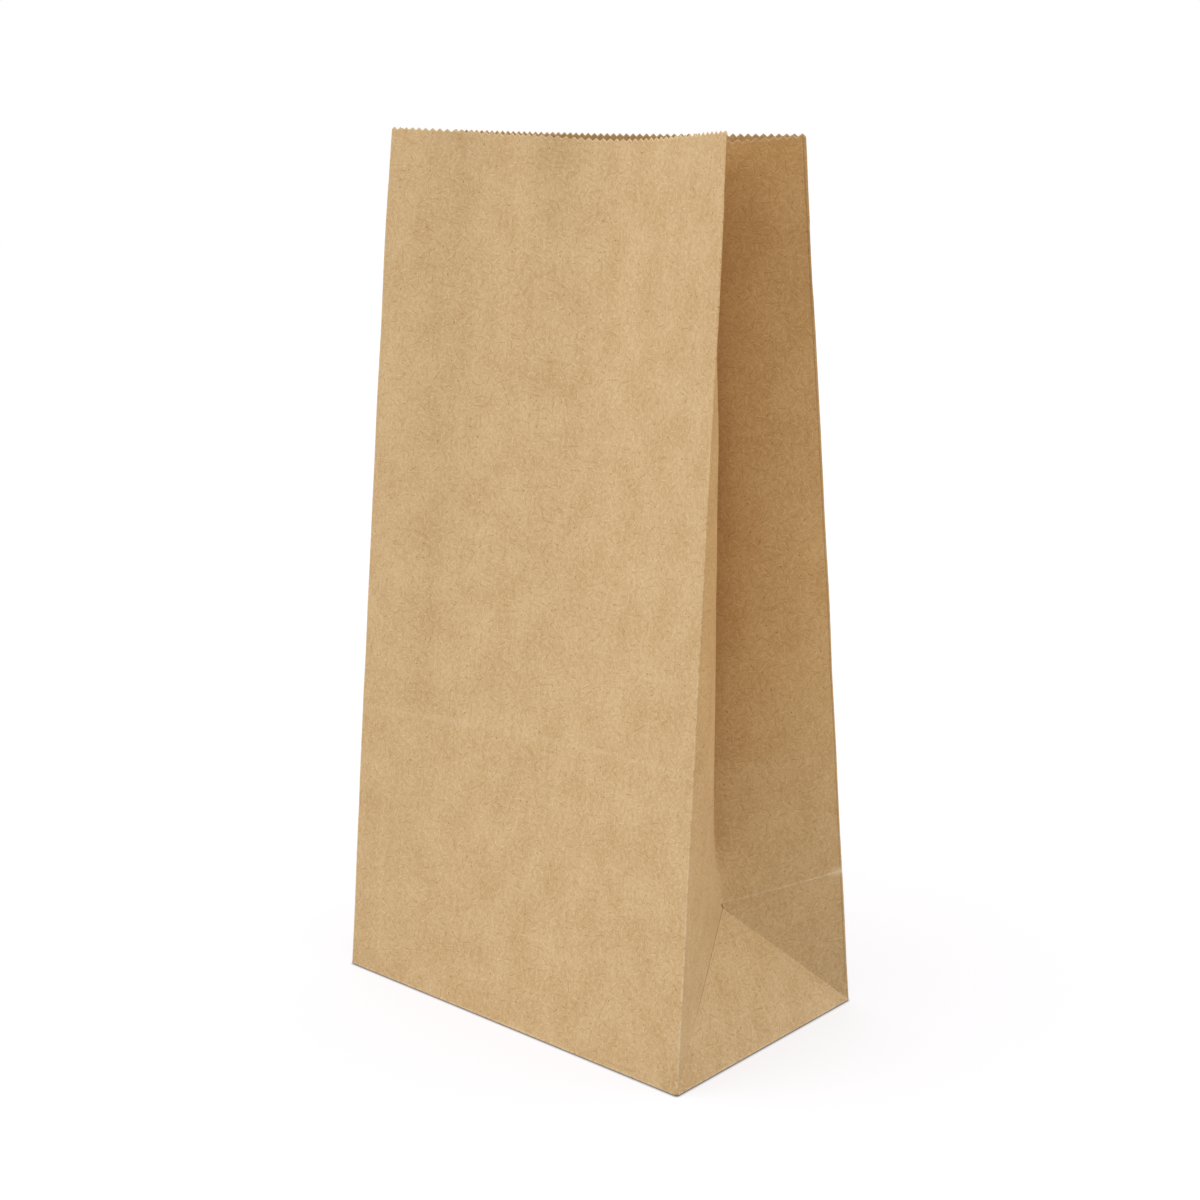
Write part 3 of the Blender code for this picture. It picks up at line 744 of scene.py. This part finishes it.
# The facet's diagonals are sharp folds.
creases_now = finished_mesh.attributes["creases"].data
sheet_now = finished_mesh.attributes["sheet"].data
on_diagonal = [abs(crease.vector[1]) < ON_FOLD and spot.vector[1] <= HALF_DEPTH
               for crease, spot in zip(creases_now, sheet_now)]
for edge in finished_mesh.edges:
    if all(on_diagonal[n] for n in edge.vertices):
        edge.use_edge_sharp = True

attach(bag, "root")
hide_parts("paper_bag")


# The floor, the light and the camera.
# A plain white sweep under a pale sky, with broad lamps overhead, in front to the left, and behind
# to the right. The camera stands where the photograph's own was reckoned to stand.
SKY = 0.70
TOP_LAMP = 0.41
KEY_LAMP = 0.38
SIDE_LAMP = 0.235
LAMP_SPREAD = math.radians(60)
KEY_FROM = Vector((-0.44, -0.63, 0.64))
SIDE_FROM = Vector((0.60, 0.75, 0.28))
FLOOR_BOUNCE = 0.50
CONTACT_REACH = 0.0009
FLOOR_SEEN = (0.250, 0.240, 0.255, 1.0)
FLOOR_GLOW = 0.70
FLOOR_HALF_SIZE = 3.0


def shows_white(tree):
    """1 on rays from the camera, or reflected or let through on their way, which see plain white."""
    path = add(tree, "ShaderNodeLightPath").outputs
    share = path["Is Camera Ray"]
    for kind in ("Is Glossy Ray", "Is Transmission Ray"):
        share = add(tree, "ShaderNodeMath", {0: share, 1: path[kind]}, operation="MAXIMUM").outputs[0]
    return share


floor_mesh = bpy.data.meshes.new("floor")
corners = [(x * FLOOR_HALF_SIZE, y * FLOOR_HALF_SIZE, 0.0) for x, y in ((-1, -1), (1, -1), (1, 1), (-1, 1))]
floor_mesh.from_pydata(corners, [], [[0, 1, 2, 3]])
floor = bpy.data.objects.new("floor", floor_mesh)
bpy.context.scene.collection.objects.link(floor)

# White sweep: plain white to the eye, with a painted contact shadow, a thin dark line where the bag touches
# it.
floor_paint = bpy.data.materials.new("white_sweep")
floor_paint.use_nodes = True
tree = floor_paint.node_tree
tree.nodes.clear()
seen = shows_white(tree)
bounced = add(tree, "ShaderNodeBsdfDiffuse", {"Color": (FLOOR_BOUNCE,) * 3 + (1.0,)}).outputs[0]
shaded = add(tree, "ShaderNodeBsdfDiffuse", {"Color": FLOOR_SEEN}).outputs[0]
# Painted contact shadow: ambient occlusion dims the glow close to the bag.
open_share = add(tree, "ShaderNodeAmbientOcclusion", {"Distance": CONTACT_REACH}).outputs["AO"]
open_share = add(tree, "ShaderNodeMath", {0: open_share, 1: open_share}, operation="MULTIPLY").outputs[0]
open_share = add(tree, "ShaderNodeMath", {0: open_share, 1: FLOOR_GLOW}, operation="MULTIPLY").outputs[0]
glow = add(tree, "ShaderNodeEmission", {"Strength": open_share}).outputs[0]
white = add(tree, "ShaderNodeAddShader", {0: shaded, 1: glow}).outputs[0]
surface = add(tree, "ShaderNodeMixShader", {0: seen, 1: bounced, 2: white}).outputs[0]
add(tree, "ShaderNodeOutputMaterial", {"Surface": surface})
floor_mesh.materials.append(floor_paint)

world = bpy.data.worlds.new("studio")
world.use_nodes = True
tree = world.node_tree
tree.nodes.clear()
seen = shows_white(tree)
strength = add(tree, "ShaderNodeMix", {"Factor": seen, "A": SKY, "B": 1.0}).outputs[0]
sky = add(tree, "ShaderNodeBackground", {"Strength": strength, "Color": (1.0, 1.0, 1.0, 1.0)}).outputs[0]
add(tree, "ShaderNodeOutputWorld", {"Surface": sky})
bpy.context.scene.world = world

for name, level, source in (("top_lamp", TOP_LAMP, Vector((0.0, 0.0, 1.0))),
                            ("key_lamp", KEY_LAMP, KEY_FROM),
                            ("side_lamp", SIDE_LAMP, SIDE_FROM)):
    lamp = bpy.data.lights.new(name, "SUN")
    lamp.energy = level * math.pi
    lamp.angle = LAMP_SPREAD
    light = bpy.data.objects.new(name, lamp)
    light.rotation_euler = source.to_track_quat("Z", "Y").to_euler()
    bpy.context.scene.collection.objects.link(light)

CAMERA_PLACE = Vector((0.36304, -0.41422, 0.25055))
CAMERA_AIM = Vector((0.00076, 0.0, 0.11706))
CAMERA_ROLL = math.radians(0.370)
SENSOR_WIDTH = 36.0
LENS = 59.86

lens = bpy.data.cameras.new("camera")
lens.sensor_width = SENSOR_WIDTH
lens.lens = LENS
camera = bpy.data.objects.new("camera", lens)
backward = (CAMERA_PLACE - CAMERA_AIM).normalized()
level = Vector((0.0, 0.0, 1.0)).cross(backward).normalized()
rightward = level * math.cos(CAMERA_ROLL) + backward.cross(level) * math.sin(CAMERA_ROLL)
axes = Matrix((rightward, backward.cross(rightward), backward)).transposed()
camera.matrix_world = Matrix.Translation(CAMERA_PLACE) @ axes.to_4x4()
bpy.context.scene.collection.objects.link(camera)
bpy.context.scene.camera = camera
bpy.context.scene.view_settings.view_transform = "Standard"
